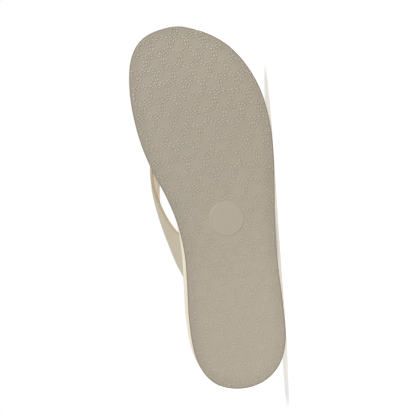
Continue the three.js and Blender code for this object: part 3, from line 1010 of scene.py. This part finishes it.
# Darker along the outer face's borders and down the edge's outer half, until the tan paint takes over.
border_darkened = leather.mix(leather.step(leather.marked("cut"), 0.3, 1), outer_face, STRAP_BORDER_DARK)
painted = leather.mix(leather.step(leather.marked("cut"), 0.9, 1.9), border_darkened, EDGE_PAINT)
lined = leather.mix(leather.step(leather.marked("lining"), 0.05, 0.35), painted, LINING)
leather.feed("Base Color", lined)
leather.feed("Roughness", leather.noise(1.5).between(0.42, 0.58))
leather_creases = leather.bump(leather.noise(5, detail=3), depth_mm=0.12)
leather.feed("Normal", leather.bump(leather.cells(0.55), depth_mm=0.03, below=leather_creases))

straps.data.materials.append(leather.material)
straps.data.transform(SHOE)
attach(straps, "root")
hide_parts("upper")


# Toe post
# A tongue of the strap's leather, folded and sewn to an oval post. It runs from the wedge, where its foot is
# cemented in a hole, up through the footbed, and flares to meet the underside of the V's point.
Post = namedtuple("Post", "x y length width depth flare_start top head_length")
POST = Post(200.8, -12.5, 8, 4.8, 9, 14, 32, 12)
POST_CORNERS = 48
POST_LEVELS = 40
POST_SEAM_WIDTH = 0.55
POST_SEAM_DEPTH = 0.35
HEAD_FITTINGS = 4
post_seat = wedge_top_z(POST.x, 0, CUP_WIDTH)


def post_radius(height):
    """Half the post's length from heel to toe, at heights over its seat."""
    share = np.clip((height - POST.flare_start) / (POST.top - POST.flare_start), 0, 1)
    return POST.length / 2 + (POST.head_length - POST.length) / 2 * share**2


def post_ring(heights, grow=0, groove=0):
    """A ring of the post, at the height over its seat that is given for each corner."""
    turn = -math.tau * np.arange(POST_CORNERS) / POST_CORNERS
    radius = post_radius(heights) + grow
    slim = (POST.width / 2 + grow) / (POST.length / 2 + grow)
    ys = POST.y + radius * slim * np.sin(turn)
    behind = np.cos(turn) < 0
    seam = groove * behind * np.exp(-(((ys - POST.y) / POST_SEAM_WIDTH) ** 2))
    return np.column_stack([POST.x + radius * np.cos(turn) + seam, ys, post_seat + heights])


def under_strap():
    """The height of the strap's underside over the post's seat, above each corner of the post's head."""
    heights = np.full(POST_CORNERS, float(POST.flare_start))
    for _ in range(HEAD_FITTINGS):
        for k, corner in enumerate(post_ring(heights)):
            hit = strap_underside.ray_cast(Vector((*corner[:2], post_seat)), Vector((0, 0, 1)))[0]
            heights[k] = hit.z - post_seat
    return heights


bottom = np.full(POST_CORNERS, -float(POST.depth))
head = under_strap()
levels = np.linspace(0, 1, POST_LEVELS + 1)
post_rings = [post_ring(bottom + level * (head - bottom), groove=POST_SEAM_DEPTH) for level in levels]
post = stacked("toe_post_leather", post_rings)
hole_rings = [post_ring(bottom - GAP, GAP), post_ring(0 * bottom + POST.flare_start, GAP)]
post_hole = stacked("post_hole", hole_rings)
carve(wedge, [post_hole])
wedge.data.transform(SHOE)
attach(wedge, "root")
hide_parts("midsole")

post.data.materials.append(leather.material)
mark(post, "cut", 0)
mark(post, "lining", 0)
post.data.transform(SHOE)
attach(post, "root")
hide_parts("toe_post")


# Footbed
# The insole is a board covered with smooth cream leather, which turns down over its edge. It is cemented
# over the straps' tails, with a notch for each leg, a hole for the toe post and a groove for its stitches.
INSOLE_THICKNESS = 2.6
FOOTBED_BORDER = 1.2
FOOTBED_ROUNDING = 0.3
FOOTBED_EDGE = 1.1
FOOTBED_EDGE_STEPS = 8
FOOTBED_DIVISIONS = 18
STITCH_INSET = 4.6

# The groove's width is taken halfway down it.
GROOVE_WIDTH = 1.3
GROOVE_DEPTH = 0.25
GROOVE_STEPS = 8
footbed_under = above(wedge_top, GAP)
footbed_top = above(footbed_under, INSOLE_THICKNESS)
groove_rims = []
for share in np.linspace(-1, 1, GROOVE_STEPS + 1):
    sink = GROOVE_DEPTH * math.cos(math.pi / 2 * share) ** 2
    groove_rims.append(Rim(footbed_top, STITCH_INSET + GROOVE_WIDTH * share, lift=-sink, edge=0))
footbed_rims = [
    Rim(footbed_under, FOOTBED_BORDER, lift=0, edge=0),
    *rounded(footbed_under, FOOTBED_ROUNDING, 1),
    *rounded(footbed_top, FOOTBED_EDGE, -1, FOOTBED_EDGE_STEPS)[::-1],
    Rim(footbed_top, inset=2, lift=0, edge=0),
    *groove_rims,
]

COVER_DARK = (0.5, 0.447, 0.352)
COVER_PALE = (0.62, 0.56, 0.448)
WEAR_START = 1
WEAR_FULL = 9
WEAR_SHADE = 0.06
cover = Finish("footbed_leather", {"Specular IOR Level": 0.4})
cover_clouds = 0.5 * cover.noise(30, detail=4) + 0.5 * cover.noise(1.6, detail=3)
cover_tone = cover.mix(cover_clouds, COVER_DARK, COVER_PALE)
wear = cover.step(cover.marked("inside"), WEAR_START, WEAR_FULL)
cover.feed("Base Color", cover.mix(WEAR_SHADE * wear, cover_tone, BLACK))
cover.feed("Roughness", cover.noise(2).between(0.5, 0.66))
cover_creases = cover.bump(cover.noise(7, detail=3), depth_mm=0.15)
cover.feed("Normal", cover.bump(cover.cells(0.5), depth_mm=0.03, below=cover_creases))

footbed = sole_layer("footbed", footbed_rims, FOOTBED_DIVISIONS)
footbed.data.materials.append(cover.material)
carve(footbed, [*seats, post_hole])
for cutter in [*seats, post_hole]:
    bpy.data.objects.remove(cutter)
footbed.data.transform(SHOE)
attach(footbed, "root")
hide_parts("insole")


# Footbed stitches
# One row of cream thread that lies in the groove all round the footbed and holds its cover to the board.
STITCH_PITCH = 3.4
STITCH_LENGTH = 2.7
STITCH_WIDTH = 0.75
STITCH_RINGS = 7
STITCH_FULLNESS = 1.02
STITCH_TAPER = 0.9
STITCH_FLATNESS = 0.6
STITCH_RISE = 0.05
STITCH_DIVE = 0.3
THREAD_CORNERS = 6
SEAM_SIDE = 1


def stitch():
    """A short length of thread, highest in its middle, whose ends go down into the leather."""
    turn = -math.tau * (np.arange(THREAD_CORNERS) + 0.5) / THREAD_CORNERS
    rings = []
    for share in np.linspace(-1, 1, STITCH_RINGS):
        radius = STITCH_WIDTH / 2 * math.sqrt(STITCH_FULLNESS - share**2 * STITCH_TAPER)
        rise = STITCH_RISE - STITCH_DIVE * share**2
        xs = 0 * turn + share * STITCH_LENGTH / 2
        heights = rise + STITCH_FLATNESS * radius * np.sin(turn)
        rings.append(np.column_stack([xs, radius * np.cos(turn), heights]))
    return stacked("stitch", rings, smooth_degrees=180)


def seam_line():
    """The line of the stitches at the bottom of their groove, which knows the way up out of the leather."""
    rows = []
    for inset in (STITCH_INSET - SEAM_SIDE, STITCH_INSET, STITCH_INSET + SEAM_SIDE):
        places = outline(ROUND_THE_SHOE, wall_offset(ROUND_THE_SHOE) - inset)
        rows.append(np.column_stack([places, footbed_top.height(places, inset)]))
    ahead_on_line = np.roll(rows[1], -1, 0) - np.roll(rows[1], 1, 0)
    up = unit(np.cross(rows[2] - rows[0], ahead_on_line))
    places = rows[1] - GROOVE_DEPTH * up
    mesh = bpy.data.meshes.new("seam_line")
    corners = range(len(places))
    mesh.from_pydata(places.tolist(), [(k, (k + 1) % len(places)) for k in corners], [])
    mesh.attributes.new("up", "FLOAT_VECTOR", "POINT").data.foreach_set("vector", up.ravel())
    return placed("seam_line", mesh)


def stitch_tree():
    """Stitches along a line, evenly spaced and turned with it."""
    inputs = {"Stitch": "Object", "Material": "Material", "Pitch": "Float"}
    graph, given = geometry_tree("footbed_stitches", inputs)
    node = graph.node
    line = node("GeometryNodeMeshToCurve", {}, {"Mesh": given["Geometry"]})
    sockets = {"Curve": line, "Length": given["Pitch"]}
    spaced = node("GeometryNodeResampleCurve", {"mode": "LENGTH"}, sockets)
    up = node("GeometryNodeInputNamedAttribute", {"data_type": "FLOAT_VECTOR"}, {"Name": "up"})
    along = node("GeometryNodeInputTangent", {}, {})
    alignment = {"primary_axis": "Z", "secondary_axis": "X"}
    turned = node("FunctionNodeAxesToRotation", alignment, {0: up, 1: along})
    shape = node("GeometryNodeObjectInfo", {}, {"Object": given["Stitch"]}, "Geometry")
    sockets = {"Points": spaced, "Instance": shape, "Rotation": turned}
    close_tree(graph, node("GeometryNodeInstanceOnPoints", {}, sockets), given["Material"])
    return graph


THREAD_DARK = (0.66, 0.59, 0.46)
THREAD_PALE = (0.72, 0.65, 0.52)
thread = Finish("footbed_thread", {"Specular IOR Level": 0.3, "Sheen Weight": 0.2})
thread.feed("Base Color", thread.mix(thread.noise(4), THREAD_DARK, THREAD_PALE))
thread.feed("Roughness", thread.noise(0.6).between(0.6, 0.8))
thread.feed("Normal", thread.bump(thread.noise(0.25), depth_mm=0.05))

stitch_values = {"Stitch": stitch(), "Material": thread.material, "Pitch": STITCH_PITCH}
stitches = grown("footbed_stitches", stitch_tree(), seam_line(), stitch_values)
stitches.data.transform(SHOE)
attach(stitches, "root")


# Floor
# The shoe lies on a plain white studio table, which is lit a little from within.
FLOOR_HALF = 4
floor_corners = [(x, y, 0) for x, y in ((-1, -1), (1, -1), (1, 1), (-1, 1))]
floor = new_piece("studio_floor", np.array(floor_corners) * FLOOR_HALF, [(0, 1, 2, 3)])
table_finish = {
    "Base Color": (0.82, 0.82, 0.815, 1),
    "Roughness": 0.9,
    "Specular IOR Level": 0.1,
    "Emission Color": (1, 1, 0.99, 1),
    "Emission Strength": 0.35,
}
paint = Finish("studio_floor", table_finish)
floor.data.materials.append(paint.material)


# Light
# A broad key light over the toe and the big-toe side, a weaker fill from behind, and pale air all round.
Lamp = namedtuple("Lamp", "name towards strength width_degrees")
LAMPS = [Lamp("key", (0.42, -0.45, 0.79), 2.2, 20), Lamp("fill", (-0.4, 0.7, 0.6), 0.5, 70)]
AIR = 0.4
for lamp in LAMPS:
    data = bpy.data.lights.new(lamp.name, "SUN")
    data.energy = lamp.strength
    data.angle = math.radians(lamp.width_degrees)
    light = placed(lamp.name, data)
    light.rotation_mode = "QUATERNION"
    light.rotation_quaternion = Vector(lamp.towards).to_track_quat("Z", "Y")

world = bpy.data.worlds.new("studio_air")
world.use_nodes = True
air = Graph(world.node_tree)
seen = air.node("ShaderNodeLightPath", {}, {}, "Is Camera Ray")
strength = AIR + (1 - AIR) * seen
world.node_tree.nodes["Background"].inputs["Color"].default_value = (1, 1, 1, 1)
world.node_tree.links.new(strength.socket, world.node_tree.nodes["Background"].inputs["Strength"])
bpy.context.scene.world = world
bpy.context.scene.view_settings.view_transform = "Standard"


# Camera
# It looks at the tread from the photograph's side, with the toe up and the shoe's medial side to the left.
# EYE and AIM are places in the shoe's own millimetres.
EYE = Vector((134.3, -59.9, -900))
AIM = Vector((128.9, -7.7, 0))
TOE_IN_DEGREES = 9
LENS = 111.5
toe_in = math.radians(TOE_IN_DEGREES)
looking = (AIM - EYE).normalized()
right = looking.cross(Vector((math.cos(toe_in), math.sin(toe_in), 0))).normalized()
turned = Matrix((right, right.cross(looking), -looking)).transposed().to_4x4()
view = bpy.data.cameras.new("photo_view")
view.lens = LENS
camera = placed("photo_view", view)
camera.matrix_world = Matrix.Translation(SHOE @ EYE) @ axes @ turned
bpy.context.scene.camera = camera
